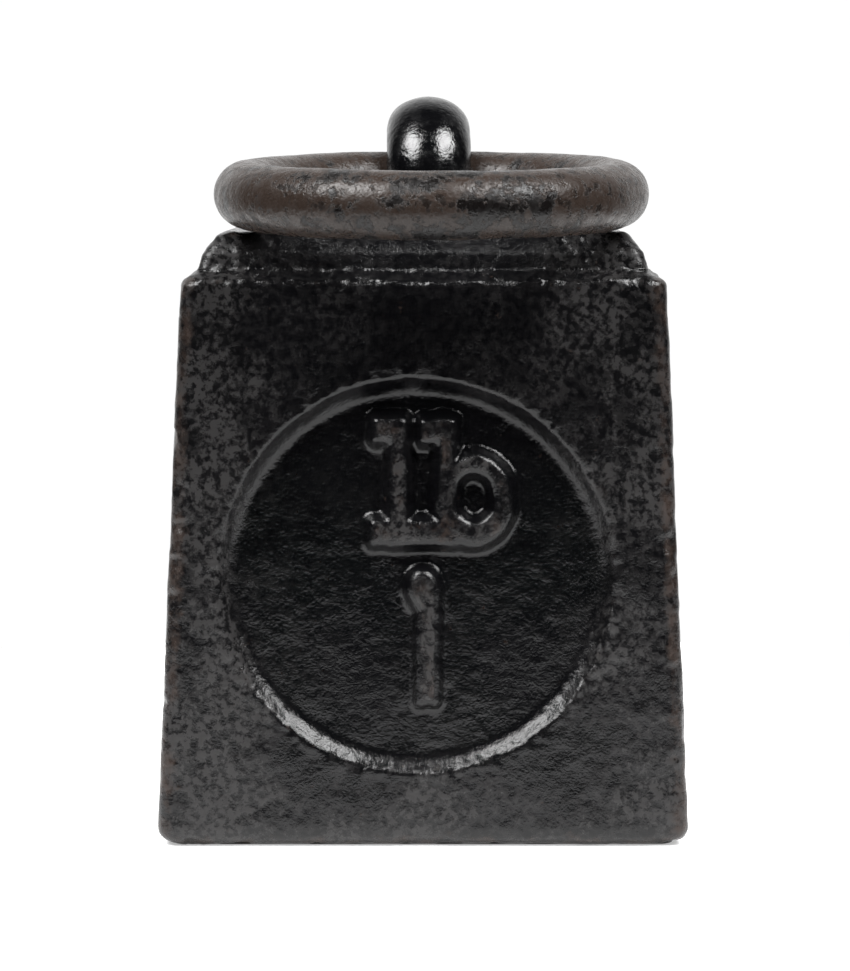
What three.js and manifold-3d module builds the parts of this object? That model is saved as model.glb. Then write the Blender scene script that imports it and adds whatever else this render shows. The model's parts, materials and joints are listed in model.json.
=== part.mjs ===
// Square cast iron ring weight of one pound. A tapered iron block carries a smaller sloping neck, a wrought
// iron eye is cast into the neck's top, a closed iron ring swings in the eye, and a lead plug in the base
// adjusts the mass. Millimetres, +Z up. The front, with the raised denomination, faces -Y. The origin is the
// middle of the base.
import * as THREE from "three";
import { mergeVertices } from "three/addons/utils/BufferGeometryUtils.js";
import Module from "manifold-3d";

const wasm = await Module();
wasm.setup();

// Block, from the floor to the shoulder
const baseWidth = 39.0;
const shoulderWidth = 35.5;
const shoulderHeight = 41.1;
const baseEdgeRadius = 1.3;
const shoulderEdgeRadius = 0.8;
const blockCornerRadius = 1.3;

// Neck, each height counted from the shoulder
const neckFootWidth = 33.0;
const neckFootRise = 0.85;
const neckFootRadius = 0.7;
const neckKneeWidth = 32.3;
const neckKneeRise = 2.1;
const neckKneeRadius = 1.5;
const neckTopWidth = 29.9;
const neckTopRise = 3.65;
const neckEdgeRadius = 1.2;
const neckCornerRadius = 0.9;

// Round panel sunk into the front face
const panelRadius = 14.4;
const panelCoveWidth = 1.6;
const panelDepth = 1.3;
const panelHeight = 19.8;
const panelSideShift = -0.5;

// Raised denomination on the panel's floor
const letterRelief = 1.1;
const letterDraft = 0.85;
const letterStroke = 0.8;
const letterHeight = 8.6;
const letterFoot = 2.5;
const letterFootDepth = 1.3;
const flagDepth = 1.25;
const flagReach = 1.2;
const stemOfL = -1.3;
const stemOfB = 2.2;
const bowlWidth = 5.0;
const bowlHeight = 6.0;
const bowlTopStroke = 0.85;
const bowlBottomStroke = 1.2;
const figureHeight = 9.1;
const figureSide = 0.85;
const figureTop = 0.0;
const figureHeadWidth = 1.5;
const figureHeadHeight = 2.2;

// Ring
const ringOuterDiameter = 32.0;
const ringBar = 4.96;
const ringTilt = THREE.MathUtils.degToRad(3.0);
const ringSideShift = 0.6;
const ringRestGap = 0.15;

// Eye, a flattened bar bent to a U
const eyeBarWidth = 6.3;
const eyeOuterBulge = 2.55;
const eyeInnerBulge = 1.2;
const eyeClearance = 0.35;
const eyeSideShift = 0.4;
const eyeLegDepth = 8.5;
const eyeFootBend = 3.0;
const eyeFootLength = 2.5;
const eyeFootSplay = THREE.MathUtils.degToRad(40);

// Adjusting lead in the base
const leadMouthRadius = 4.6;
const leadWideRadius = 5.6;
const leadDepth = 12.0;
const leadNeckDepth = 3.0;

// Space left where iron was poured round the eye's legs, and lead into its hole
const castGap = 0.2;

// Fineness of the faceted surfaces
const filletSteps = 4;
const eyeSectionSteps = 12;
const eyePathSteps = 56;
const ringBarSides = 16;
const ringSteps = 72;
const leadSides = 32;
const panelSides = 72;
const coveSteps = 5;

// Places that follow from the sizes above
const neckTop = shoulderHeight + neckTopRise;
const faceLean = Math.atan2((baseWidth - shoulderWidth) / 2, shoulderHeight);
const ringRadius = (ringOuterDiameter - ringBar) / 2;
const eyeInnerRadius = ringBar / 2 + eyeClearance;
const eyeMidRadius = eyeInnerRadius + eyeInnerBulge;

const castIron = new THREE.MeshStandardMaterial({ color: 0x17181a, roughness: 0.5, metalness: 0.3 });
const paintedIron = new THREE.MeshStandardMaterial({ color: 0x121214, roughness: 0.3, metalness: 0.3 });
const brownIron = new THREE.MeshStandardMaterial({ color: 0x3a2f2a, roughness: 0.45, metalness: 0.6 });
const lead = new THREE.MeshStandardMaterial({ color: 0x6f7276, roughness: 0.6, metalness: 0.8 });

// A closed mesh as a manifold-3d solid.
function toSolid(geometry) {
  const bare = geometry.clone();
  bare.deleteAttribute("normal");
  bare.deleteAttribute("uv");
  const merged = mergeVertices(bare, 1e-4);
  const vertProperties = merged.attributes.position.array;
  const triVerts = new Uint32Array(merged.index.array);
  return new wasm.Manifold(new wasm.Mesh({ numProp: 3, vertProperties, triVerts }));
}

// A named three.js mesh of a solid.
function toMesh(name, solid, material) {
  const { vertProperties, triVerts } = solid.getMesh();
  const geometry = new THREE.BufferGeometry();
  geometry.setAttribute("position", new THREE.BufferAttribute(vertProperties, 3));
  geometry.setIndex(new THREE.BufferAttribute(triVerts, 1));
  const flat = geometry.toNonIndexed();
  flat.computeVertexNormals();
  const mesh = new THREE.Mesh(flat, material);
  mesh.name = name;
  return mesh;
}

// The corners of an outline with each one rounded to its own radius, as points from first to last.
function roundedOutline(corners) {
  const points = [];
  corners.forEach(({ at, radius = 0 }, i) => {
    const before = corners[i - 1];
    const after = corners[i + 1];
    if (!before || !after || radius === 0) {
      points.push(at);
      return;
    }
    const back = before.at.clone().sub(at).normalize();
    const ahead = after.at.clone().sub(at).normalize();
    const half = Math.acos(THREE.MathUtils.clamp(back.dot(ahead), -1, 1)) / 2;
    const middle = back.clone().add(ahead).normalize();
    const centre = at.clone().addScaledVector(middle, radius / Math.sin(half));
    const tangent = radius / Math.tan(half);
    const start = at.clone().addScaledVector(back, tangent).sub(centre);
    const end = at.clone().addScaledVector(ahead, tangent).sub(centre);
    const turn = Math.atan2(start.cross(end), start.dot(end));
    for (let k = 0; k <= filletSteps; k++) {
      const spoke = start.clone().rotateAround(new THREE.Vector2(), (turn * k) / filletSteps);
      points.push(spoke.add(centre));
    }
  });
  return points;
}

// One level of the casting: a square of the given half width with rounded corners.
function squareRing(half, height, cornerRadius) {
  const ring = [];
  for (let side = 0; side < 4; side++) {
    for (let k = 0; k <= filletSteps; k++) {
      const angle = ((side + k / filletSteps) * Math.PI) / 2;
      const centre = new THREE.Vector2(half - cornerRadius, half - cornerRadius);
      centre.rotateAround(new THREE.Vector2(), (side * Math.PI) / 2);
      ring.push(centre.x + cornerRadius * Math.cos(angle), centre.y + cornerRadius * Math.sin(angle), height);
    }
  }
  return ring;
}

// The casting's outside, lofted through square levels from the base to the neck's top.
function castingGeometry() {
  const corner = (width, height, radius) => ({ at: new THREE.Vector2(width / 2, height), radius });
  const profile = roundedOutline([
    corner(0, 0, 0),
    corner(baseWidth, 0, baseEdgeRadius),
    corner(shoulderWidth, shoulderHeight, shoulderEdgeRadius),
    corner(neckFootWidth, shoulderHeight + neckFootRise, neckFootRadius),
    corner(neckKneeWidth, shoulderHeight + neckKneeRise, neckKneeRadius),
    corner(neckTopWidth, neckTop, neckEdgeRadius),
    corner(0, neckTop, 0),
  ]).slice(1, -1);
  const count = 4 * (filletSteps + 1);
  const positions = [0, 0, 0];
  for (const { x, y } of profile) {
    const cornerRadius = y > shoulderHeight + neckFootRise ? neckCornerRadius : blockCornerRadius;
    positions.push(...squareRing(x, y, cornerRadius));
  }
  positions.push(0, 0, neckTop);
  const index = [];
  const last = positions.length / 3 - 1;
  for (let k = 0; k < count; k++) {
    const next = (k + 1) % count;
    index.push(0, 1 + next, 1 + k);
    index.push(last, last - count + k, last - count + next);
    for (let level = 0; level < profile.length - 1; level++) {
      const low = 1 + level * count;
      const high = low + count;
      index.push(low + k, low + next, high + next, low + k, high + next, high + k);
    }
  }
  const geometry = new THREE.BufferGeometry();
  geometry.setAttribute("position", new THREE.Float32BufferAttribute(positions, 3));
  geometry.setIndex(index);
  return geometry;
}

// Puts a shape drawn on the panel, X to the right, Y up the slope and Z out of it, onto the front face.
function onFrontFace(geometry, sink) {
  const right = new THREE.Vector3(1, 0, 0);
  const up = new THREE.Vector3(0, Math.sin(faceLean), Math.cos(faceLean));
  const out = new THREE.Vector3().crossVectors(right, up);
  const centre = new THREE.Vector3(panelSideShift, -baseWidth / 2, 0);
  centre.addScaledVector(up, panelHeight).addScaledVector(out, -sink);
  const frame = new THREE.Matrix4().makeBasis(right, up, out).setPosition(centre);
  return geometry.applyMatrix4(frame);
}

// The dish that is cut out for the panel: a flat floor, a hollow cove round it, and a clear way out in front.
function panelCutter() {
  const coveTurn = 2 * Math.atan2(panelDepth, panelCoveWidth);
  const coveRadius = panelDepth / (1 - Math.cos(coveTurn));
  const frontOfDish = 2 * panelDepth;
  const outline = [new THREE.Vector2(0, 0)];
  for (let k = 0; k <= coveSteps; k++) {
    const angle = (coveTurn * k) / coveSteps;
    const radius = panelRadius - panelCoveWidth + coveRadius * Math.sin(angle);
    outline.push(new THREE.Vector2(radius, coveRadius * (1 - Math.cos(angle))));
  }
  outline.push(new THREE.Vector2(panelRadius, frontOfDish), new THREE.Vector2(0, frontOfDish));
  const dish = new THREE.LatheGeometry(outline, panelSides).rotateX(Math.PI / 2);
  return toSolid(onFrontFace(dish, panelDepth));
}

// A raised stroke with sloping sides. The shape is the stroke's top, and its sides spread down to the floor.
function raisedStroke(shape) {
  const geometry = new THREE.ExtrudeGeometry(shape, {
    depth: panelDepth / 2,
    curveSegments: 10,
    bevelThickness: letterRelief,
    bevelSize: letterDraft,
    bevelSegments: 3,
  });
  geometry.translate(0, 0, -panelDepth / 2);
  return toSolid(onFrontFace(geometry, panelDepth));
}

function boxShape(left, bottom, right, top) {
  const corners = [
    [left, bottom],
    [right, bottom],
    [right, top],
    [left, top],
  ];
  return new THREE.Shape(corners.map(([x, y]) => new THREE.Vector2(x, y)));
}

function ovalShape(x, y, halfWidth, halfHeight) {
  return new THREE.Shape().absellipse(x, y, halfWidth, halfHeight, 0, 2 * Math.PI);
}

// The letters l and b, standing on one shared foot.
function unitStrokes() {
  const halfStroke = letterStroke / 2;
  const top = letterFoot + letterHeight;
  const strokes = [];
  for (const stem of [stemOfL, stemOfB]) {
    const right = stem + halfStroke;
    strokes.push(boxShape(stem - halfStroke, letterFoot, right, top));
    strokes.push(boxShape(stem - halfStroke - flagReach, top - flagDepth, right, top));
  }
  const footLeft = stemOfL - halfStroke - flagReach;
  strokes.push(boxShape(footLeft, letterFoot, stemOfB + halfStroke, letterFoot + letterFootDepth));
  const bowlX = stemOfB - halfStroke + bowlWidth / 2;
  const bowl = ovalShape(bowlX, letterFoot + bowlHeight / 2, bowlWidth / 2, bowlHeight / 2);
  const openingHalfHeight = (bowlHeight - bowlTopStroke - bowlBottomStroke) / 2;
  const openingY = letterFoot + bowlBottomStroke + openingHalfHeight;
  bowl.holes.push(ovalShape(bowlX, openingY, bowlWidth / 2 - letterStroke, openingHalfHeight));
  strokes.push(bowl);
  return strokes;
}

// The figure one: a plain stem with a fuller head.
function figureStrokes() {
  const halfStroke = letterStroke / 2;
  const left = figureSide - halfStroke;
  const bottom = figureTop - figureHeight;
  const stem = boxShape(left, bottom, left + letterStroke, figureTop - figureHeadHeight / 2);
  const headX = figureSide + halfStroke - figureHeadWidth / 2;
  const head = ovalShape(headX, figureTop - figureHeadHeight / 2, figureHeadWidth / 2, figureHeadHeight / 2);
  return [stem, head];
}

// The eye's centre line in the plane across the hinge axis: foot, leg, half circle, leg, foot.
class EyeCurve extends THREE.Curve {
  constructor(pivotHeight, extension) {
    super();
    const legEnd = neckTop - eyeLegDepth;
    const bendRadius = eyeFootBend / eyeFootSplay;
    const footReach = eyeFootLength + extension;
    this.stretches = [
      { length: footReach, turn: 0 },
      { length: eyeFootBend, turn: -eyeFootSplay },
      { length: pivotHeight - legEnd, turn: 0 },
      { length: Math.PI * eyeMidRadius, turn: Math.PI },
      { length: pivotHeight - legEnd, turn: 0 },
      { length: eyeFootBend, turn: -eyeFootSplay },
      { length: footReach, turn: 0 },
    ];
    this.span = this.stretches.reduce((sum, { length }) => sum + length, 0);
    const bendY = bendRadius * (1 - Math.cos(eyeFootSplay));
    const bendZ = bendRadius * Math.sin(eyeFootSplay);
    const startY = eyeMidRadius + bendY + footReach * Math.sin(eyeFootSplay);
    const startZ = legEnd - bendZ - footReach * Math.cos(eyeFootSplay);
    this.start = new THREE.Vector2(-startY, startZ);
    this.heading = Math.PI / 2 - eyeFootSplay;
  }

  getPoint(t) {
    let left = t * this.span;
    let heading = this.heading;
    const at = this.start.clone();
    for (const { length, turn } of this.stretches) {
      const part = Math.min(left, length);
      const turned = (-turn * part) / length;
      const middle = heading + turned / 2;
      const chord = turned === 0 ? part : (2 * part * Math.sin(turned / 2)) / turned;
      at.x += chord * Math.cos(middle);
      at.y += chord * Math.sin(middle);
      heading += turned;
      left -= part;
      if (left <= 0) break;
    }
    return new THREE.Vector3(eyeSideShift, at.x, at.y);
  }
}

// The eye's solid, or with a growth above zero the hollow that the iron leaves round it.
function eyeSolid(pivotHeight, growth) {
  const section = [];
  for (let k = 0; k < 2 * eyeSectionSteps; k++) {
    const angle = (k * Math.PI) / eyeSectionSteps;
    const bulge = Math.sin(angle) > 0 ? eyeOuterBulge : eyeInnerBulge;
    const across = (eyeBarWidth / 2 + growth) * Math.cos(angle);
    section.push(new THREE.Vector2(across, (bulge + growth) * Math.sin(angle)));
  }
  const geometry = new THREE.ExtrudeGeometry(new THREE.Shape(section), {
    steps: eyePathSteps,
    extrudePath: new EyeCurve(pivotHeight, growth),
  });
  return toSolid(geometry);
}

// The adjusting lead with its face at the given height, drawn in by the given gap on its sides and its top.
function leadSolid(faceHeight, gap) {
  const outline = [
    new THREE.Vector2(0, faceHeight),
    new THREE.Vector2(leadMouthRadius - gap, faceHeight),
    new THREE.Vector2(leadMouthRadius - gap, leadNeckDepth),
    new THREE.Vector2(leadWideRadius - gap, leadDepth - gap),
    new THREE.Vector2(0, leadDepth - gap),
  ];
  return toSolid(new THREE.LatheGeometry(outline, leadSides).rotateX(Math.PI / 2));
}

// The ring lies forward with its bar on the neck's front edge and its back held in the eye.
const flatHalf = neckTopWidth / 2 - neckEdgeRadius / 2;
const pivotHeight = neckTop + flatHalf * Math.tan(ringTilt) + (ringBar / 2 + ringRestGap) / Math.cos(ringTilt);

let casting = toSolid(castingGeometry());
casting = casting.subtract(panelCutter());
for (const stroke of [...unitStrokes(), ...figureStrokes()]) {
  casting = casting.add(raisedStroke(stroke));
}
casting = casting.subtract(eyeSolid(pivotHeight, castGap));
casting = casting.subtract(leadSolid(-castGap, 0));

const ringGeometry = new THREE.TorusGeometry(ringRadius, ringBar / 2, ringBarSides, ringSteps);
const ring = toMesh("ring", toSolid(ringGeometry), brownIron);
ring.position.set(ringSideShift, -ringRadius, 0);
const ringSwing = new THREE.Group();
ringSwing.position.z = pivotHeight;
ringSwing.rotation.x = ringTilt;
ringSwing.add(ring);

const weight = new THREE.Group();
weight.add(toMesh("weight_body", casting, castIron));
weight.add(toMesh("ring_eye", eyeSolid(pivotHeight, 0), paintedIron));
weight.add(toMesh("adjusting_lead", leadSolid(0, castGap), lead));
weight.add(ringSwing);

export default weight;
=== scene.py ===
"""Looks of a one pound cast iron ring weight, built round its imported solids.

The casting, the eye, the ring and the adjusting lead are meshes made from the sizes below, in metres, +Z up,
with the front at -Y. Every random value comes from a fixed seed.
"""

import json
import math

import bpy
import numpy as np
from bpy.props import FloatProperty, FloatVectorProperty, PointerProperty
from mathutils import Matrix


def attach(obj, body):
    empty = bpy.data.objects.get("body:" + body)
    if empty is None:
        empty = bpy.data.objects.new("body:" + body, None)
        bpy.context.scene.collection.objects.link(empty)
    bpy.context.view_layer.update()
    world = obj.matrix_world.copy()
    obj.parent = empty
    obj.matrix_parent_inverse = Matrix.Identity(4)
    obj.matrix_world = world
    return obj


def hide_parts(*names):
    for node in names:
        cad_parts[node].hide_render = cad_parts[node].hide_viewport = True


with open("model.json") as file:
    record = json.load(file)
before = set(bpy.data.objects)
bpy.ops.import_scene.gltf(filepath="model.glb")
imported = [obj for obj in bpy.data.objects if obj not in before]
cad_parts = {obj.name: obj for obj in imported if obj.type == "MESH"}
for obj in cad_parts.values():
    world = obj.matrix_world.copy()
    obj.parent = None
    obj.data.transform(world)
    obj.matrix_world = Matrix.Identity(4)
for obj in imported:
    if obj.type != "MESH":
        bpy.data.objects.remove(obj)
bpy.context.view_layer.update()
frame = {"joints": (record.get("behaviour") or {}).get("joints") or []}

bl_info = {
    "name": "Cast iron ring weight",
    "version": (1, 0, 0),
    "blender": (4, 5, 0),
    "location": "3D View > Sidebar > Ring weight",
    "description": "Builds a one pound cast iron ring weight and its studio",
    "category": "Object",
}

MM = 0.001

# Small sizes of the casting, in millimetres.
NECK_FOOT_RISE = 0.85
NECK_KNEE_RISE = 2.1
BASE_ROUNDING = 1.3
SHOULDER_ROUNDING = 0.8
LEDGE_ROUNDING = 0.7
KNEE_ROUNDING = 1.5
TOP_ROUNDING = 1.2
NECK_CORNER_RADIUS = 0.9
PANEL_SIDE_SHIFT = -0.5
PANEL_HEIGHT = 19.8
# How much deeper the panel's floor is for each millimetre up the slope.
PANEL_FLOOR_LEAN = 0.026
# The lead's hole, from its undercut bottom to its rim: how much wider than its mouth, and how high.
LEAD_HOLE = ((1.0, 12.0), (0.0, 3.0), (0.0, 1.0), (0.0, 0.25), (0.08, 0.08), (0.25, 0.0))
CAST_GAP = 0.2

# Small sizes of the eye, in millimetres.
EYE_SIDE_SHIFT = 0.4
EYE_OUTER_BULGE = 2.55
EYE_INNER_BULGE = 1.2
EYE_CLEARANCE = 0.35
EYE_LEG_DEPTH = 2.6
EYE_LEG_SPREAD = 4.05

RING_REST_TILT = math.radians(3.0)

# How finely the casting is divided: columns on the front and on each other side, steps round a corner,
# and the height of a level in millimetres.
FRONT_COLUMNS = 200
SIDE_COLUMNS = 44
CORNER_STEPS = 8
LEVEL_STEP = 0.19
# The front is the last of the four sides, counted round from +X.
FRONT_SIDE = 3


def length(name, millimetres, description):
    """A size that a user can change, given in millimetres and kept in metres."""
    return FloatProperty(
        name=name, description=description, default=millimetres * MM, unit="LENGTH", precision=5
    )


def colour(name, rgb, description):
    """A colour that a user can change."""
    return FloatVectorProperty(
        name=name, description=description, default=rgb, subtype="COLOR", min=0, max=1
    )


class WeightSizes(bpy.types.PropertyGroup):
    """Sizes of the weight."""

    base_width: length("Base width", 39.0, "Block's width at the floor, before its edge is rounded")
    shoulder_width: length("Shoulder width", 35.5, "Block's width at the shoulder")
    shoulder_height: length("Shoulder height", 41.1, "Height of the shoulder above the floor")
    corner_radius: length("Corner radius", 1.3, "Rounding of the block's upright corners")
    neck_foot_width: length("Neck foot width", 33.0, "Width where the neck rises from the ledge")
    neck_knee_width: length("Neck knee width", 32.3, "Width where the neck's side turns inwards")
    neck_top_width: length("Neck top width", 29.9, "Width of the neck's top")
    neck_height: length("Neck height", 3.65, "Height of the neck above the shoulder")
    panel_radius: length("Panel radius", 14.4, "Outer radius of the sunk round panel")
    panel_cove: length("Panel cove", 1.5, "Width of the hollow wall round the panel")
    panel_depth: length("Panel depth", 1.2, "Depth of the sunk round panel")
    letter_relief: length("Letter relief", 1.0, "Height of the letters above the panel's floor")
    letter_draft: length("Letter draft", 1.0, "Width of the letters' sloping sides")
    ring_outer: length("Ring diameter", 32.0, "Outer diameter of the ring")
    ring_bar: length("Ring bar", 4.96, "Thickness of the ring's round bar")
    eye_width: length("Eye width", 6.3, "Width of the eye's flattened bar")
    lead_radius: length("Lead radius", 4.4, "Radius of the adjusting lead's face")


class WeightColours(bpy.types.PropertyGroup):
    """Colours of the weight's finishes."""

    paint: colour("Black paint", (0.0020, 0.0020, 0.0024), "Black paint on the casting and the eye")
    # Colour of the greyish film, laid on both as dust and as painted light.
    film_and_painted_light: colour("Dusty film", (0.027, 0.0258, 0.0258), "Greyish film on the paint")
    bare: colour("Bare brown iron", (0.046, 0.032, 0.026), "Iron showing where the paint is worn off")
    ring: colour("Ring patina", (0.029, 0.0205, 0.0165), "Brown patina of the ring")
    # Colour of the black paint remains on the ring, also used as painted shade in its front middle.
    stain_and_shade: colour("Ring stain", (0.004, 0.0035, 0.0035), "Remains of black paint on the ring")
    lead: colour("Lead", (0.16, 0.165, 0.175), "Dull adjusting lead")
    floor: colour("Floor", (0.80, 0.80, 0.80), "Pale studio floor")


# Shapes


# Odd numbers that spread the cells of the noise over all its values.
CELL_MIX = np.array([73856093, 19349663, 83492791])
SEED_MIX = 2654435761
VALUE_MIX = 1274126177


def value_noise(points, cell, seed):
    """Smooth random values from -1 to 1 at the points, which change over the given cell size."""
    scaled = points / cell
    low = np.floor(scaled).astype(np.int64)
    part = scaled - low
    part = part * part * (3 - 2 * part)
    total = np.zeros(len(points))
    for corner in np.ndindex(2, 2, 2):
        step = np.array(corner)
        key = (low + step) @ CELL_MIX + seed * SEED_MIX
        key = ((key ^ (key >> 13)) * VALUE_MIX) & 0xFFFFFFFF
        value = ((key ^ (key >> 16)) & 0xFFFF) / 32767.5 - 1
        total += value * np.prod(np.where(step, part, 1 - part), axis=1)
    return total


def waves(points, *layers):
    """A sum of noises, each layer given as its cell size, its height and its seed."""
    return sum(height * value_noise(points, cell, seed) for cell, height, seed in layers)


def band(value, middle, width):
    """1 at the middle, falling softly to 0 on both sides over about the width."""
    return np.exp(-(((value - middle) / width) ** 2))


def smoothstep(low, high, value):
    """0 below low, 1 above high and a smooth rise between them."""
    t = np.clip((value - low) / (high - low), 0, 1)
    return t * t * (3 - 2 * t)


def smooth_min(a, b, reach):
    """The lesser of two values, blended where they are closer than reach."""
    t = np.clip(0.5 + 0.5 * (b - a) / reach, 0, 1)
    return b + (a - b) * t - reach * t * (1 - t)


def rounded_profile(corners, steps):
    """Points of a half outline of (half width, height, radius) corners, with each corner rounded."""
    points = []
    for i, (x, z, radius) in enumerate(corners):
        at = np.array([x, z])
        if radius == 0 or i in (0, len(corners) - 1):
            points.append(at)
            continue
        back = np.array(corners[i - 1][:2]) - at
        ahead = np.array(corners[i + 1][:2]) - at
        back, ahead = back / np.linalg.norm(back), ahead / np.linalg.norm(ahead)
        half = math.acos(np.clip(back @ ahead, -1, 1)) / 2
        middle = (back + ahead) / np.linalg.norm(back + ahead)
        centre = at + middle * radius / math.sin(half)
        start = at + back * radius / math.tan(half) - centre
        end = at + ahead * radius / math.tan(half) - centre
        turn = math.atan2(start[0] * end[1] - start[1] * end[0], start @ end)
        for k in range(steps + 1):
            a = turn * k / steps
            c, s = math.cos(a), math.sin(a)
            points.append(centre + np.array([c * start[0] - s * start[1], s * start[0] + c * start[1]]))
    return np.array(points)


def refined(points, step):
    """The same open outline with points added so that none are further apart than step."""
    out = [points[0]]
    for a, b in zip(points[:-1], points[1:]):
        count = max(1, math.ceil(np.linalg.norm(b - a) / step))
        out.extend(a + (b - a) * k / count for k in range(1, count + 1))
    return np.array(out)


def smooth_piece(name, points, faces):
    """A smooth shaded object in the scene, made from points and faces."""
    mesh = bpy.data.meshes.new(name)
    mesh.from_pydata(points, [], faces)
    mesh.validate()
    mesh.shade_smooth()
    piece = bpy.data.objects.new(name, mesh)
    bpy.context.scene.collection.objects.link(piece)
    return piece


def grid_mesh(name, rings, cap_low, cap_high):
    """A mesh through equal closed rings of points, with a point closing each end."""
    levels, count, _ = rings.shape
    points = [tuple(p) for p in rings.reshape(-1, 3)]
    faces = []
    for level in range(levels - 1):
        a, b = level * count, (level + 1) * count
        for k in range(count):
            n = (k + 1) % count
            faces.append((a + k, a + n, b + n, b + k))
    points.append(tuple(cap_low))
    faces.extend(((k + 1) % count, k, len(points) - 1) for k in range(count))
    points.append(tuple(cap_high))
    top = (levels - 1) * count
    faces.extend((top + k, top + (k + 1) % count, len(points) - 1) for k in range(count))
    return smooth_piece(name, points, faces)


def closed_grid_mesh(name, rings):
    """A mesh through equal closed rings of points, whose last ring joins the first."""
    levels, count, _ = rings.shape
    faces = []
    for level in range(levels):
        a, b = level * count, ((level + 1) % levels) * count
        for k in range(count):
            n = (k + 1) % count
            faces.append((a + k, a + n, b + n, b + k))
    return smooth_piece(name, [tuple(p) for p in rings.reshape(-1, 3)], faces)


def points_of(mesh):
    """A mesh's points as an array."""
    flat = np.zeros(len(mesh.vertices) * 3)
    mesh.vertices.foreach_get("co", flat)
    return flat.reshape(-1, 3)


def normals_of(mesh):
    """A mesh's vertex normals as an array."""
    flat = np.zeros(len(mesh.vertices) * 3)
    mesh.vertex_normals.foreach_get("vector", flat)
    return flat.reshape(-1, 3)


def sink_points(mesh, points, normals, millimetres):
    """Moves each point against its normal by its own number of millimetres."""
    move_points(mesh, points - normals * (millimetres * MM)[:, None])


def move_points(mesh, points):
    """Puts a mesh's points where the array says."""
    mesh.vertices.foreach_set("co", points.ravel())
    mesh.update()


def keep_value(mesh, name, values):
    """Stores one number for each point, for the materials to read."""
    attribute = mesh.attributes.new(name, "FLOAT", "POINT")
    attribute.data.foreach_set("value", np.asarray(values, np.float32))


# Raised denomination, in millimetres on the panel: X to the right and Y up the slope from its centre.
# Boxes are (left, bottom, right, top) and ovals are (x, y, half width, half height).
UNIT_BOXES = (
    (-1.69, 2.5, -0.89, 11.1),
    (-2.92, 9.95, -1.2, 11.2),
    (-3.1, 2.5, 2.6, 3.75),
    (1.82, 2.5, 2.6, 11.1),
    (0.5, 9.9, 2.2, 11.15),
)
BOWL = (4.25, 5.45, 2.52, 3.1)
BOWL_OPENING = (4.2, 5.65, 1.72, 2.05)
FIGURE_STEM = (0.35, -9.15, 1.3, -1.0)
FIGURE_HEAD = (0.5, -1.05, 0.78, 1.1)


def box_distance(x, y, box):
    """Signed distance from points to a box."""
    left, bottom, right, top = box
    dx = np.abs(x - (left + right) / 2) - (right - left) / 2
    dy = np.abs(y - (bottom + top) / 2) - (top - bottom) / 2
    return np.hypot(np.maximum(dx, 0), np.maximum(dy, 0)) + np.minimum(np.maximum(dx, dy), 0)


def oval_distance(x, y, oval):
    """Signed distance, near enough, from points to an oval."""
    centre_x, centre_y, half_width, half_height = oval
    u, v = (x - centre_x) / half_width, (y - centre_y) / half_height
    size = np.hypot(u, v) + 1e-9
    slope = np.hypot(u / half_width, v / half_height) / size + 1e-9
    return (size - 1) / slope


def letter_distance(x, y):
    """Signed distance to the tops of the raised unit and number."""
    blend = 0.35
    wobble = waves(np.stack([x, y, 0 * x], 1), (0.9, 0.05, 11), (0.4, 0.03, 12))
    unit = box_distance(x, y, UNIT_BOXES[0])
    for box in UNIT_BOXES[1:]:
        unit = smooth_min(unit, box_distance(x, y, box), blend)
    bowl = np.maximum(oval_distance(x, y, BOWL), -oval_distance(x, y, BOWL_OPENING))
    unit = smooth_min(unit, bowl, blend)
    figure = smooth_min(oval_distance(x, y, FIGURE_HEAD), box_distance(x, y, FIGURE_STEM), blend)
    return np.minimum(unit, figure) + wobble


def panel_surface(x, y, sizes):
    """What the sunk panel and its letters do to the front, at points of the panel's plane.

    Returns how far each point is sunk, and from 0 to 1 how much it is a letter's top, the panel's rim and
    the panel's inside.
    """
    radius, cove = sizes.panel_radius / MM, sizes.panel_cove / MM
    out = np.hypot(x, y) + waves(np.stack([x, y, 0 * x], 1), (5.0, 0.08, 3))
    lean = PANEL_FLOOR_LEAN * y
    depth = sizes.panel_depth / MM + lean

    share = np.clip((out - (radius - cove)) / cove, 0, 1.3)
    wall = np.minimum(smooth_min(depth * share**2.1, depth, 0.3), depth)

    distance = letter_distance(x, y)
    flank = np.clip(distance / (sizes.letter_draft / MM), 0, 1)
    letter = (sizes.letter_relief / MM + lean) * (0.5 + 0.5 * np.cos(math.pi * flank))
    crown = 0.07 * smoothstep(0.0, -0.4, distance)

    sunk = depth - np.maximum(wall, letter + crown)
    letter_top = smoothstep(0.15, -0.1, distance)
    rim = band(out, radius + 0.1, 0.6)
    inside = smoothstep(radius, radius - cove, out)
    return sunk, letter_top, rim, inside


def casting_profile(sizes):
    """Half outline of the block and its neck, as (half width, height) points from the base up."""
    shoulder, top = sizes.shoulder_height, sizes.shoulder_height + sizes.neck_height
    corners = [
        (sizes.lead_radius * 1.6, 0, 0),
        (sizes.base_width / 2, 0, BASE_ROUNDING * MM),
        (sizes.shoulder_width / 2, shoulder, SHOULDER_ROUNDING * MM),
        (sizes.neck_foot_width / 2, shoulder + NECK_FOOT_RISE * MM, LEDGE_ROUNDING * MM),
        (sizes.neck_knee_width / 2, shoulder + NECK_KNEE_RISE * MM, KNEE_ROUNDING * MM),
        (sizes.neck_top_width / 2, top, TOP_ROUNDING * MM),
        (0.9 * MM, top, 0),
    ]
    return refined(rounded_profile(corners, CORNER_STEPS), LEVEL_STEP * MM)


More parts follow.
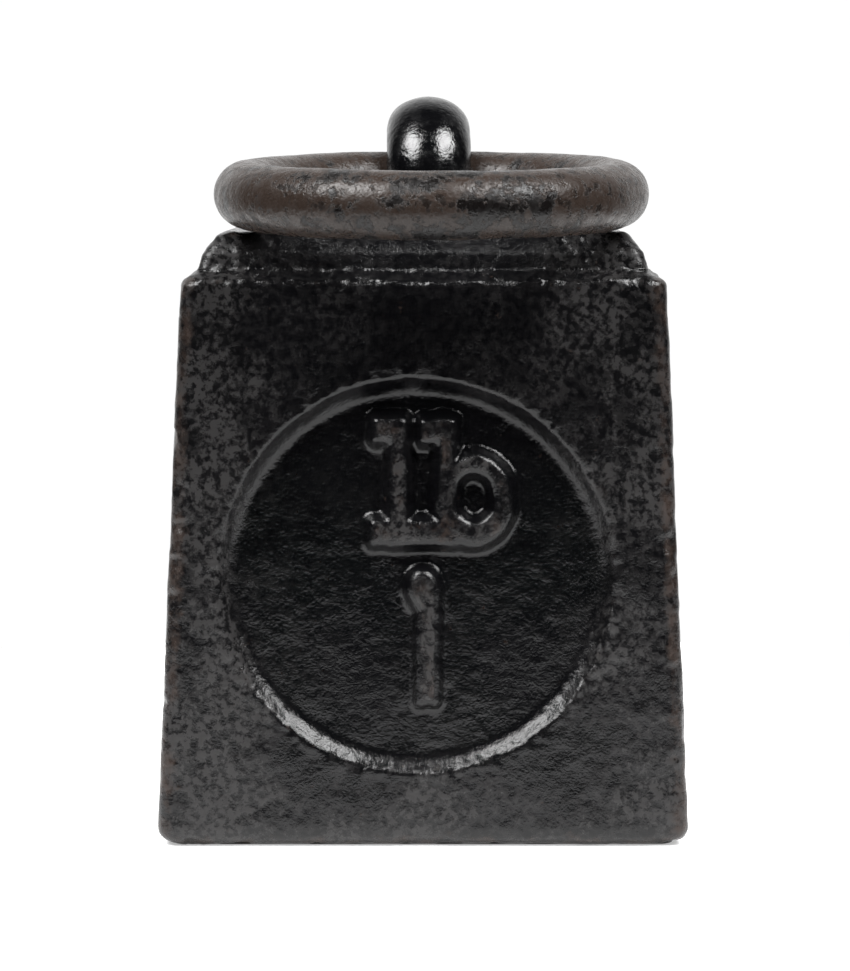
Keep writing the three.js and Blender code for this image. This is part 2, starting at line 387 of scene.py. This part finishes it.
def casting_rings(sizes):
    """The casting's outside as rings of points, from the lead's hole to the middle of the neck's top.

    Also returns which of the four sides each column of points is on.
    """
    columns = []
    for side in range(4):
        count = FRONT_COLUMNS if side == FRONT_SIDE else SIDE_COLUMNS
        columns.extend((side, -1 + 2 * k / count, 0.0) for k in range(count))
        columns.extend((side, 1.0, math.pi / 2 * k / CORNER_STEPS) for k in range(CORNER_STEPS))
    side, along, angle = (np.array(c) for c in zip(*columns))
    turn = side * math.pi / 2

    eighth = math.pi / 4
    direction = turn + np.where(along < 1, along * eighth, eighth + (angle - eighth) * 0.02)
    spokes = np.stack([np.cos(direction), np.sin(direction)], 1)
    rings = []
    for wider, height in LEAD_HOLE:
        radius = sizes.lead_radius + (CAST_GAP + wider) * MM
        rings.append(np.column_stack([spokes * radius, np.full(len(side), height * MM)]))

    neck_foot = sizes.shoulder_height + NECK_FOOT_RISE * MM
    c, s = np.cos(turn), np.sin(turn)
    for half, height in casting_profile(sizes):
        corner = sizes.corner_radius if height < neck_foot else NECK_CORNER_RADIUS * MM
        corner = min(corner, half * 0.5)
        x = (half - corner) + corner * np.cos(angle)
        y = along * (half - corner) + corner * np.sin(angle)
        rings.append(np.column_stack([c * x - s * y, s * x + c * y, np.full(len(side), height)]))
    return np.array(rings), side


def exposed_edges(x, y, z, lean, sizes):
    """How exposed each point is, from 0 to 1: upright corners, shoulder, foot and the neck's top edge."""
    shoulder = sizes.shoulder_height / MM
    top = shoulder + sizes.neck_height / MM
    half = sizes.base_width / MM / 2 - z * math.tan(lean)
    nearer, further = np.minimum(np.abs(x), np.abs(y)), np.maximum(np.abs(x), np.abs(y))
    upright = band(np.maximum(half - 0.7 - nearer, 0), 0, 0.75) * (z < shoulder + 0.4)
    along_shoulder = band(z, shoulder - 0.1, 0.45) * (further > 16.6)
    along_foot = band(z, 0, 1.1) * (further > 17)
    along_neck = band(z, top - 0.2, 0.35) * (further > 13.6)
    return np.maximum.reduce([upright, 0.45 * along_shoulder, along_foot, 0.6 * along_neck])


def cast_unevenness(at, x, z, rim, shoulder):
    """How far the sand mould left each point inside the full outline, in millimetres."""
    uneven = 0.05 + waves(at, (6.0, 0.05, 21), (1.6, 0.035, 22), (0.7, 0.022, 23), (0.42, 0.012, 24))
    on_rim = waves(at, (0.42, 0.08, 24), (1.0, 0.07, 31))
    on_ledge = waves(at, (0.5, 0.09, 29), (1.2, 0.1, 30))
    on_neck_ends = waves(at, (0.42, 0.05, 28))
    neck_ends = (z > shoulder + 0.4) & (np.abs(x) > 10)
    return uneven + rim * on_rim + band(z, shoulder + 0.3, 0.8) * on_ledge + neck_ends * on_neck_ends


def paint_round_legs(x, y, z, top, sizes):
    """Thickness of the paint that fills the corner where the eye's legs leave the neck, in millimetres."""
    across = (x - EYE_SIDE_SHIFT) / (sizes.eye_width / MM / 2)
    outward = np.abs(y) - EYE_LEG_SPREAD
    size = np.hypot(across, outward / np.where(outward > 0, EYE_OUTER_BULGE, EYE_INNER_BULGE))
    return 0.4 * band(np.maximum(size - 0.98, 0), 0, 0.16) * (z > top - 0.25)


def dust_and_painted_light(at, x, y, z, letter_top, rim, inside, wiped):
    """How much greyish film lies on each point, from 0 to 1, partly dust and partly painted light: it grows
    towards the bottom as a painted reflection of the floor, is least in the middle, thins in the sunk panel
    as painted shade, and is fullest on the letters' tops.
    """
    # Painted reflection of the floor: the film rises towards the bottom.
    away = np.maximum(np.minimum(np.abs(x), np.abs(y)) / 17, 1 - z / 16) ** 2
    dusty_left = 0.25 * smoothstep(-7, -16, x)
    film_and_painted_light = np.clip(0.22 + 0.85 * away + dusty_left + waves(at, (7.0, 0.3, 27)), 0, 1)
    # Painted shade: the film thins inside the sunk panel.
    return np.maximum.reduce([film_and_painted_light * (1 - 0.75 * inside), 0.4 * rim, letter_top, wiped])


def make_casting(sizes):
    """The block, neck, panel and raised denomination in one mesh."""
    rings, side = casting_rings(sizes)
    shoulder = sizes.shoulder_height / MM
    top = shoulder + sizes.neck_height / MM
    hole_end = (0, 0, LEAD_HOLE[0][1] * MM)
    piece = grid_mesh("casting", rings, hole_end, (0, 0, top * MM))
    mesh = piece.data
    points, normals = points_of(mesh), normals_of(mesh)
    x, y, z = (points[:, i] / MM for i in range(3))

    lean = math.atan2((sizes.base_width - sizes.shoulder_width) / 2, sizes.shoulder_height)
    outward = np.array([0, -math.cos(lean), math.sin(lean)])
    is_front = np.zeros(len(points), bool)
    is_front[: rings.shape[0] * len(side)] = np.tile(side == FRONT_SIDE, rings.shape[0])
    is_front &= (z > 1.5) & (z < shoulder - 0.9)
    panel = panel_surface(x - PANEL_SIDE_SHIFT, z / math.cos(lean) - PANEL_HEIGHT, sizes)
    sunk, letter_top, rim, inside = (value * is_front for value in panel)
    points = points - np.outer(sunk * MM, outward)

    at = points / MM
    edge = exposed_edges(x, y, z, lean, sizes)
    chips = 0.16 * edge * smoothstep(0.25, 0.75, value_noise(at, 1.3, 25))
    upright_grain = at * np.array([1, 1, 0.22])
    streaks = value_noise(upright_grain, 0.45, 26)
    streaks = streaks * smoothstep(shoulder - 3.6, shoulder - 0.6, z) * (z < shoulder + 0.3)
    inward = cast_unevenness(at, x, z, rim, shoulder) * (1 - 0.5 * letter_top) + chips
    inward += 0.035 * (1 + streaks) * (z > shoulder - 2.6)
    open_to_view = ((z > 0.02) & (np.hypot(x, y) > 8)) | (z > top - 0.25)
    inward = np.where(open_to_view, inward, 0) - paint_round_legs(x, y, z, top, sizes)
    sink_points(mesh, points, normals, inward)

    wiped = smoothstep(0.0, 0.8, streaks) * smoothstep(5, 16, np.abs(x))
    # Dust film and painted light: painted floor reflection low down, painted shade in the sunk panel.
    keep_value(mesh, "film_and_painted_light", dust_and_painted_light(at, x, y, z, letter_top, rim, inside, wiped))
    keep_value(mesh, "edge", np.clip(np.maximum.reduce([edge, 0.4 * rim, 0.8 * wiped]), 0, 1))
    keep_value(mesh, "raised", letter_top)
    return piece


def eye_path(pivot_height, sizes):
    """The eye's centre line as (y, z, heading): up one leg, over the ring's bar and down the other."""
    radius = sizes.ring_bar / 2 + (EYE_CLEARANCE + EYE_INNER_BULGE) * MM
    foot = sizes.shoulder_height + sizes.neck_height - EYE_LEG_DEPTH * MM
    leg_steps, arch_steps = 16, 64
    leg = [foot + (pivot_height - foot) * k / leg_steps for k in range(leg_steps)]
    path = [(-radius, z, math.pi / 2) for z in leg]
    for k in range(arch_steps + 1):
        a = math.pi * k / arch_steps
        path.append((-radius * math.cos(a), pivot_height + radius * math.sin(a), math.pi / 2 - a))
    path.extend((radius, z, -math.pi / 2) for z in reversed(leg))
    return path


def make_eye(pivot_height, sizes):
    """The wrought eye: a flattened bar with a fuller outer side, bent over the ring."""
    points_round = 56
    rings = []
    for y, z, heading in eye_path(pivot_height, sizes):
        middle = np.array([EYE_SIDE_SHIFT * MM, y, z])
        outward = np.array([0, -math.sin(heading), math.cos(heading)])
        ring = []
        for k in range(points_round):
            a = 2 * math.pi * k / points_round
            bulge = (EYE_OUTER_BULGE if math.sin(a) > 0 else EYE_INNER_BULGE) * MM
            across = np.array([sizes.eye_width / 2 * math.cos(a), 0, 0])
            ring.append(middle + across + outward * bulge * math.sin(a))
        rings.append(ring)
    rings = np.array(rings)
    piece = grid_mesh("eye", rings, rings[0].mean(0), rings[-1].mean(0))
    mesh = piece.data
    points, normals = points_of(mesh), normals_of(mesh)
    at = points / MM
    dents = 0.045 + waves(at, (2.6, 0.05, 31), (0.9, 0.02, 32), (0.35, 0.008, 33))
    sink_points(mesh, points, normals, np.clip(dents, 0, None))
    keep_value(mesh, "edge", smoothstep(2.5, 3.1, np.abs(at[:, 0] - EYE_SIDE_SHIFT)))
    return piece


def make_ring(pivot, sizes):
    """The forged ring, lying forward from its bar in the eye, with the small unevenness of hand work."""
    bar = sizes.ring_bar / 2
    radius = sizes.ring_outer / 2 - bar
    backward = np.array([0, math.cos(RING_REST_TILT), math.sin(RING_REST_TILT)])
    upward = np.array([0, -math.sin(RING_REST_TILT), math.cos(RING_REST_TILT)])
    centre = np.array(pivot) - radius * backward
    steps_round, points_round = 288, 48
    rings = []
    for i in range(steps_round):
        a = 2 * math.pi * i / steps_round
        spoke = np.array([math.cos(a), 0, 0]) + backward * math.sin(a)
        ring = []
        for k in range(points_round):
            b = 2 * math.pi * k / points_round
            ring.append(centre + spoke * (radius + bar * math.cos(b)) + upward * bar * math.sin(b))
        rings.append(ring[::-1])
    piece = closed_grid_mesh("ring_forged", np.array(rings))
    mesh = piece.data
    points, normals = points_of(mesh), normals_of(mesh)
    at = points / MM
    dents = 0.07 + waves(at, (7.0, 0.06, 41), (2.4, 0.04, 42), (0.8, 0.014, 43))
    sink_points(mesh, points, normals, np.clip(dents, 0, None))
    # Paint remains and painted shade, gathered in the ring's front middle between the two lamps'
    # reflections.
    in_front = smoothstep(-22, -27, at[:, 1]) * smoothstep(11, 4, np.abs(at[:, 0] - 1))
    keep_value(mesh, "front_stain_and_shade", in_front)
    return piece


def make_lead(sizes):
    """The adjusting lead, with shallow punch marks in its filed face."""
    face = sizes.lead_radius / MM
    step, chamfer, depth = 0.2, 0.06, 11.8
    profile = [(0.6 + step * k, 0.0) for k in range(int((face - 0.7) / step))]
    profile += [(face - chamfer, 0.0), (face, chamfer), (face, 3.0), (face + 1.0, depth), (0.6, depth)]
    turns = np.linspace(0, 2 * np.pi, 96, endpoint=False)
    round_trip = np.stack([np.cos(turns), np.sin(turns)], 1)
    rings = [np.column_stack([round_trip * radius, np.full(96, height)]) * MM for radius, height in profile]
    piece = grid_mesh("lead_plug", np.array(rings), (0, 0, 0), (0, 0, depth * MM))
    mesh = piece.data
    points = points_of(mesh)
    at = points / MM
    rng = np.random.default_rng(7)
    dents = np.zeros(len(points))
    for _ in range(9):
        turn, out = rng.uniform(0, 2 * math.pi), rng.uniform(0.3, 3.2)
        away = np.hypot(at[:, 0] - out * math.cos(turn), at[:, 1] - out * math.sin(turn))
        dents = np.maximum(dents, 0.22 * band(away, 0, 0.75))
    dents += 0.02 * np.abs(value_noise(at, 0.8, 51))
    points[:, 2] += np.where(at[:, 2] < 0.03, dents, 0) * MM
    move_points(mesh, points)
    return piece


# Finishes


class Finish:
    """A material or node group under construction."""

    def __init__(self, tree):
        self.tree = tree
        tree.nodes.clear()

    def add(self, kind, **settings):
        """A new node."""
        node = self.tree.nodes.new(kind)
        for key, value in settings.items():
            setattr(node, key, value)
        return node

    def join(self, source, target):
        """A link from an output to an input."""
        self.tree.links.new(source, target)

    def feed(self, socket, value):
        """Sets an input to a number or colour, or links it to an output."""
        if hasattr(value, "is_output"):
            self.join(value, socket)
        else:
            socket.default_value = value

    def maths(self, operation, a, b, clamp=False):
        """One sum of two values."""
        node = self.add("ShaderNodeMath", operation=operation, use_clamp=clamp)
        self.feed(node.inputs[0], a)
        self.feed(node.inputs[1], b)
        return node.outputs[0]

    def plus(self, base, value, factor):
        """The base and a share of the value."""
        return self.maths("ADD", base, self.maths("MULTIPLY", value, factor))

    def ramp(self, value, low, high):
        """0 below low, 1 above high and a smooth rise between them."""
        node = self.add("ShaderNodeMapRange", interpolation_type="SMOOTHSTEP")
        self.feed(node.inputs["Value"], value)
        self.feed(node.inputs["From Min"], low)
        self.feed(node.inputs["From Max"], high)
        return node.outputs["Result"]

    def blend(self, share, a, b):
        """A mix of two colours."""
        node = self.add("ShaderNodeMix", data_type="RGBA")
        self.feed(node.inputs["Factor"], share)
        self.feed(node.inputs["A"], a)
        self.feed(node.inputs["B"], b)
        return node.outputs["Result"]

    def noise(self, vector, scale, detail, roughness):
        """Cloudy noise."""
        node = self.add("ShaderNodeTexNoise")
        self.feed(node.inputs["Vector"], vector)
        self.feed(node.inputs["Scale"], scale)
        node.inputs["Detail"].default_value = detail
        node.inputs["Roughness"].default_value = roughness
        return node.outputs["Fac"]

    def group(self, tree, **inputs):
        """A shared node group, with its inputs set by name."""
        node = self.add("ShaderNodeGroup", node_tree=tree)
        for key, value in inputs.items():
            self.feed(node.inputs[key.replace("_", " ")], value)
        return node


def node_group(name, inputs, outputs):
    """An empty shader node group with named sockets, and its input and output nodes."""
    tree = bpy.data.node_groups.new(name, "ShaderNodeTree")
    for socket, kind in inputs:
        tree.interface.new_socket(name=socket, in_out="INPUT", socket_type=kind)
    for socket in outputs:
        tree.interface.new_socket(name=socket, in_out="OUTPUT", socket_type="NodeSocketFloat")
    made = Finish(tree)
    return made, made.add("NodeGroupInput"), made.add("NodeGroupOutput")


def cast_grain_group():
    """Fine sand-cast grain: a height for the bump and a mottled tone."""
    made, given, out = node_group(
        "cast_grain",
        [("Vector", "NodeSocketVector"), ("Grain Scale", "NodeSocketFloat")],
        ["Height", "Tone"],
    )
    vector, scale = given.outputs["Vector"], given.outputs["Grain Scale"]
    fine = made.noise(vector, scale, 3.0, 0.6)
    coarse = made.noise(vector, made.maths("MULTIPLY", scale, 0.33), 4.0, 0.62)
    height = made.maths("ADD", made.maths("MULTIPLY", fine, 0.4), made.maths("MULTIPLY", coarse, 0.9))
    made.join(height, out.inputs["Height"])
    made.join(made.ramp(coarse, 0.38, 0.64), out.inputs["Tone"])
    return bpy.data.node_groups["cast_grain"]


def worn_places_group():
    """Where paint has gone: along the edges, on the letters' tops and in small scattered specks."""
    made, given, out = node_group(
        "worn_places",
        [
            ("Vector", "NodeSocketVector"),
            ("Edge", "NodeSocketFloat"),
            ("Raised", "NodeSocketFloat"),
            ("Amount", "NodeSocketFloat"),
        ],
        ["Mask", "Specks"],
    )
    patches = made.noise(given.outputs["Vector"], 520.0, 6.0, 0.72)
    specks = made.noise(given.outputs["Vector"], 1050.0, 5.0, 0.7)
    pull = made.maths("MULTIPLY", given.outputs["Edge"], 0.30)
    pull = made.plus(pull, given.outputs["Raised"], 0.2)
    value = made.plus(made.maths("ADD", patches, pull), given.outputs["Amount"], 0.2)
    made.join(made.ramp(value, 0.78, 1.08), out.inputs["Mask"])
    made.join(made.ramp(specks, 0.66, 0.72), out.inputs["Specks"])
    return bpy.data.node_groups["worn_places"]


def new_material(name):
    """A material with only an output and a shader for metal, paint and rust."""
    material = bpy.data.materials.new(name)
    material.use_nodes = True
    made = Finish(material.node_tree)
    output = made.add("ShaderNodeOutputMaterial")
    shader = made.add("ShaderNodeBsdfPrincipled")
    made.join(shader.outputs["BSDF"], output.inputs["Surface"])
    vector = made.add("ShaderNodeTexCoord").outputs["Object"]
    return material, made, shader, vector


def rgba(value):
    """A colour property as a colour socket takes it."""
    return (*value, 1.0)


def attribute(made, name):
    """One of the numbers stored on the points."""
    return made.add("ShaderNodeAttribute", attribute_name=name).outputs["Fac"]


def bump(made, shader, height, distance, strength):
    """Relief finer than the mesh."""
    node = made.add("ShaderNodeBump")
    node.inputs["Strength"].default_value = strength
    node.inputs["Distance"].default_value = distance
    made.join(height, node.inputs["Height"])
    made.join(node.outputs["Normal"], shader.inputs["Normal"])


def painted_casting(colours, groups):
    """Worn black paint over sand-cast iron, under a greyish film that is partly dust and partly painted
    light.
    """
    material, made, shader, vector = new_material("painted_casting")
    grain = made.group(groups["grain"], Vector=vector, Grain_Scale=5600.0)
    edge, raised = attribute(made, "edge"), attribute(made, "raised")
    worn = made.group(groups["worn"], Vector=vector, Edge=edge, Raised=raised, Amount=0.5)
    cloud = made.ramp(made.noise(vector, 170.0, 9.0, 0.72), 0.40, 0.66)
    # The film share carries dust and painted light: painted floor reflection low down, painted shade in the
    # panel.
    film_and_painted_light = made.maths("MULTIPLY", attribute(made, "film_and_painted_light"), made.maths("ADD", 0.2, cloud))
    film_and_painted_light = made.maths("MULTIPLY", film_and_painted_light, made.plus(0.1, grain.outputs["Tone"], 1.4), clamp=True)

    base = made.blend(film_and_painted_light, rgba(colours.paint), rgba(colours.film_and_painted_light))
    base = made.blend(made.maths("MULTIPLY", worn.outputs["Specks"], 0.4), base, rgba(colours.bare))
    base = made.blend(made.maths("MULTIPLY", worn.outputs["Mask"], 0.7), base, rgba(colours.bare))
    made.join(base, shader.inputs["Base Color"])
    rough = made.plus(made.plus(0.13, film_and_painted_light, 0.22), worn.outputs["Mask"], 0.14)
    made.join(rough, shader.inputs["Roughness"])
    shader.inputs["IOR"].default_value = 1.38
    bump(made, shader, grain.outputs["Height"], 0.07 * MM, 0.95)
    return material


def glossy_eye(colours, groups):
    """Thick glossy black paint, smooth but for shallow waves, and thin at the bar's edges."""
    material, made, shader, vector = new_material("glossy_eye")
    grain = made.group(groups["grain"], Vector=vector, Grain_Scale=3200.0)
    worn = made.group(groups["worn"], Vector=vector, Edge=attribute(made, "edge"))
    thin = made.maths("MULTIPLY", worn.outputs["Mask"], 0.6)
    made.join(made.blend(thin, rgba(colours.paint), rgba(colours.bare)), shader.inputs["Base Color"])
    made.join(made.plus(0.11, grain.outputs["Tone"], 0.14), shader.inputs["Roughness"])
    bump(made, shader, grain.outputs["Height"], 0.08 * MM, 0.8)
    return material


def brown_ring(colours, groups):
    """Satin brown patina with remains of black paint; their gathering in the front middle is partly painted
    shade.
    """
    material, made, shader, vector = new_material("brown_ring")
    grain = made.group(groups["grain"], Vector=vector, Grain_Scale=4200.0)
    # The front middle is pushed darker: painted shade along with the paint remains.
    patches = made.plus(made.noise(vector, 380.0, 8.0, 0.72), attribute(made, "front_stain_and_shade"), 0.07)
    small = made.ramp(made.noise(vector, 1100.0, 4.0, 0.65), 0.54, 0.62)
    dark = made.maths("MAXIMUM", made.ramp(patches, 0.55, 0.62), made.maths("MULTIPLY", small, 0.7))
    stain_and_shade_share = made.maths("MULTIPLY", dark, 0.95)
    made.join(made.blend(stain_and_shade_share, rgba(colours.ring), rgba(colours.stain_and_shade)), shader.inputs["Base Color"])
    made.join(made.plus(0.2, grain.outputs["Tone"], 0.18), shader.inputs["Roughness"])
    shader.inputs["IOR"].default_value = 1.37
    bump(made, shader, made.plus(grain.outputs["Height"], dark, -0.25), 0.09 * MM, 1.0)
    return material


def filed_lead(colours, groups):
    """Dull grey lead with file strokes."""
    material, made, shader, vector = new_material("filed_lead")
    grain = made.group(groups["grain"], Vector=vector, Grain_Scale=1400.0)
    stretch = made.add("ShaderNodeMapping")
    stretch.inputs["Scale"].default_value = (1.0, 0.06, 1.0)
    stretch.inputs["Rotation"].default_value = (0.0, 0.0, 0.5)
    made.join(vector, stretch.inputs["Vector"])
    strokes = made.noise(stretch.outputs["Vector"], 5200.0, 2.0, 0.5)
    tone = made.maths("MULTIPLY", grain.outputs["Tone"], 0.7)
    made.join(made.blend(tone, rgba(colours.lead), rgba(colours.film_and_painted_light)), shader.inputs["Base Color"])
    shader.inputs["Metallic"].default_value = 0.8
    made.join(made.plus(0.42, strokes, 0.2), shader.inputs["Roughness"])
    bump(made, shader, made.plus(grain.outputs["Height"], strokes, 0.6), 0.04 * MM, 0.6)
    return material


def shown_white(made):
    """1 where a surface is seen straight on, in a reflection or through glass, otherwise 0."""
    path = made.add("ShaderNodeLightPath")
    seen = made.maths("MAXIMUM", path.outputs["Is Camera Ray"], path.outputs["Is Glossy Ray"])
    return made.maths("MAXIMUM", seen, path.outputs["Is Transmission Ray"])


def pale_floor(colours):
    """A pale matt floor that shows white and keeps the weight's shadow."""
    material, made, shader, vector = new_material("pale_floor")
    tone = made.noise(vector, 30.0, 2.0, 0.5)
    paler = tuple(min(1.0, c * 1.03) for c in colours.floor)
    made.join(made.blend(tone, rgba(colours.floor), rgba(paler)), shader.inputs["Base Color"])
    shader.inputs["Roughness"].default_value = 0.9
    shader.inputs["Emission Color"].default_value = (1, 1, 1, 1)
    distance = made.add("ShaderNodeVectorMath", operation="LENGTH")
    made.join(vector, distance.inputs[0])
    glow = made.add("ShaderNodeMapRange", interpolation_type="SMOOTHSTEP")
    made.join(distance.outputs["Value"], glow.inputs["Value"])
    glow.inputs["From Min"].default_value = 0.045
    glow.inputs["From Max"].default_value = 0.10
    glow.inputs["To Min"].default_value = 0.45
    glow.inputs["To Max"].default_value = 0.8
    white = made.maths("MULTIPLY", shown_white(made), glow.outputs["Result"])
    made.join(white, shader.inputs["Emission Strength"])
    return material


def surroundings():
    """White behind the weight and where the camera looks, and a dim room in front of it."""
    world = bpy.data.worlds.new("studio")
    world.use_nodes = True
    made = Finish(world.node_tree)
    output = made.add("ShaderNodeOutputWorld")
    background = made.add("ShaderNodeBackground")
    made.join(background.outputs[0], output.inputs["Surface"])
    direction = made.add("ShaderNodeTexCoord").outputs["Generated"]
    split = made.add("ShaderNodeSeparateXYZ")
    made.join(direction, split.inputs[0])
    behind = made.ramp(split.outputs["Y"], 0.35, 0.85)
    room = made.maths("ADD", 0.01, behind)
    camera = made.add("ShaderNodeLightPath").outputs["Is Camera Ray"]
    background.inputs["Color"].default_value = (1, 1, 1, 1)
    made.join(made.maths("MAXIMUM", room, camera), background.inputs["Strength"])
    bpy.context.scene.world = world


def make_floor(colours):
    """A round floor under the weight, a hair below it."""
    sides, reach = 96, 0.105
    turns = [2 * math.pi * k / sides for k in range(sides)]
    rim = [(reach * math.cos(a), reach * math.sin(a), 0) for a in turns]
    mesh = bpy.data.meshes.new("floor")
    mesh.from_pydata(rim, [], [tuple(range(sides))])
    mesh.materials.append(pale_floor(colours))
    floor = bpy.data.objects.new("floor", mesh)
    floor.location.z = -0.02 * MM
    bpy.context.scene.collection.objects.link(floor)


def make_lamp(name, azimuth):
    """A soft square lamp above and in front of the weight, turned by the azimuth in degrees."""
    light = bpy.data.lights.new(name, "AREA")
    light.shape = "RECTANGLE"
    light.size, light.size_y = 0.30, 0.30
    light.energy = 5.6
    turn, rise, distance = math.radians(azimuth), math.radians(50), 0.6
    level = distance * math.cos(rise)
    height = 0.025 + distance * math.sin(rise)
    lamp = bpy.data.objects.new(name, light)
    lamp.location = (level * math.sin(turn), -level * math.cos(turn), height)
    lamp.rotation_euler = (math.pi / 2 - rise, 0, turn)
    bpy.context.scene.collection.objects.link(lamp)


def make_camera():
    """The camera in front of the weight, looking slightly down."""
    camera = bpy.data.objects.new("camera", bpy.data.cameras.new("camera"))
    camera.location = (0.00013, -0.300, 0.050)
    camera.rotation_euler = (math.radians(90 - 4.80), 0, 0)
    camera.data.lens = 144.4
    camera.data.sensor_width = 36.0
    camera.data.clip_start, camera.data.clip_end = 0.01, 20.0
    bpy.context.scene.collection.objects.link(camera)
    bpy.context.scene.camera = camera


# Operators


def shared_groups():
    """The node groups that the finishes share, built once."""
    made = bpy.data.node_groups
    return {
        "grain": made.get("cast_grain") or cast_grain_group(),
        "worn": made.get("worn_places") or worn_places_group(),
    }


def dress(piece, material, body, node):
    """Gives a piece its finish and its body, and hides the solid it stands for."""
    piece.data.materials.clear()
    piece.data.materials.append(material)
    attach(piece, body)
    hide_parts(node)


class WEIGHT_OT_casting(bpy.types.Operator):
    """Builds the iron block, its neck, its sunk panel and the raised denomination"""

    bl_idname = "ring_weight.casting"
    bl_label = "Iron casting"

    def execute(self, context):
        scene = context.scene
        piece = make_casting(scene.weight_sizes)
        material = painted_casting(scene.weight_colours, shared_groups())
        dress(piece, material, "weight", "weight_body")
        return {"FINISHED"}


class WEIGHT_OT_eye(bpy.types.Operator):
    """Builds the wrought eye on the neck"""

    bl_idname = "ring_weight.eye"
    bl_label = "Ring eye"

    def execute(self, context):
        scene = context.scene
        joint = frame["joints"][0]
        piece = make_eye(joint["pos_m"][2], scene.weight_sizes)
        material = glossy_eye(scene.weight_colours, shared_groups())
        dress(piece, material, "weight", "ring_eye")
        return {"FINISHED"}


class WEIGHT_OT_ring(bpy.types.Operator):
    """Builds the closed ring that swings in the eye"""

    bl_idname = "ring_weight.ring"
    bl_label = "Ring"

    def execute(self, context):
        scene = context.scene
        joint = frame["joints"][0]
        piece = make_ring(joint["pos_m"], scene.weight_sizes)
        material = brown_ring(scene.weight_colours, shared_groups())
        dress(piece, material, "swinging_ring", "ring")
        return {"FINISHED"}


class WEIGHT_OT_lead(bpy.types.Operator):
    """Builds the adjusting lead in the base"""

    bl_idname = "ring_weight.lead"
    bl_label = "Adjusting lead"

    def execute(self, context):
        scene = context.scene
        piece = make_lead(scene.weight_sizes)
        material = filed_lead(scene.weight_colours, shared_groups())
        dress(piece, material, "weight", "adjusting_lead")
        return {"FINISHED"}


class WEIGHT_OT_stage(bpy.types.Operator):
    """Builds the floor, the lamps, the surroundings and the camera"""

    bl_idname = "ring_weight.stage"
    bl_label = "Studio"

    def execute(self, context):
        make_floor(context.scene.weight_colours)
        surroundings()
        make_lamp("lamp_left", -54)
        make_lamp("lamp_right", 54)
        make_camera()
        context.scene.view_settings.view_transform = "Standard"
        return {"FINISHED"}


PIECE_OPERATORS = (WEIGHT_OT_casting, WEIGHT_OT_eye, WEIGHT_OT_ring, WEIGHT_OT_lead, WEIGHT_OT_stage)


class WEIGHT_PT_panel(bpy.types.Panel):
    """Lists the pieces of the weight and their sizes"""

    bl_idname = "WEIGHT_PT_panel"
    bl_label = "Ring weight"
    bl_space_type = "VIEW_3D"
    bl_region_type = "UI"
    bl_category = "Ring weight"

    def draw(self, context):
        layout = self.layout
        for operator in PIECE_OPERATORS:
            layout.operator(operator.bl_idname)
        for group in (context.scene.weight_sizes, context.scene.weight_colours):
            column = layout.column()
            for key in group.bl_rna.properties.keys():
                if key not in ("rna_type", "name"):
                    column.prop(group, key)


CLASSES = (WeightSizes, WeightColours, *PIECE_OPERATORS, WEIGHT_PT_panel)


def register():
    for cls in CLASSES:
        bpy.utils.register_class(cls)
    bpy.types.Scene.weight_sizes = PointerProperty(type=WeightSizes)
    bpy.types.Scene.weight_colours = PointerProperty(type=WeightColours)


def unregister():
    del bpy.types.Scene.weight_colours
    del bpy.types.Scene.weight_sizes
    for cls in reversed(CLASSES):
        bpy.utils.unregister_class(cls)


def main():
    register()
    bpy.ops.ring_weight.casting()
    bpy.ops.ring_weight.eye()
    bpy.ops.ring_weight.ring()
    bpy.ops.ring_weight.lead()
    bpy.ops.ring_weight.stage()


if __name__ == "__main__":
    main()
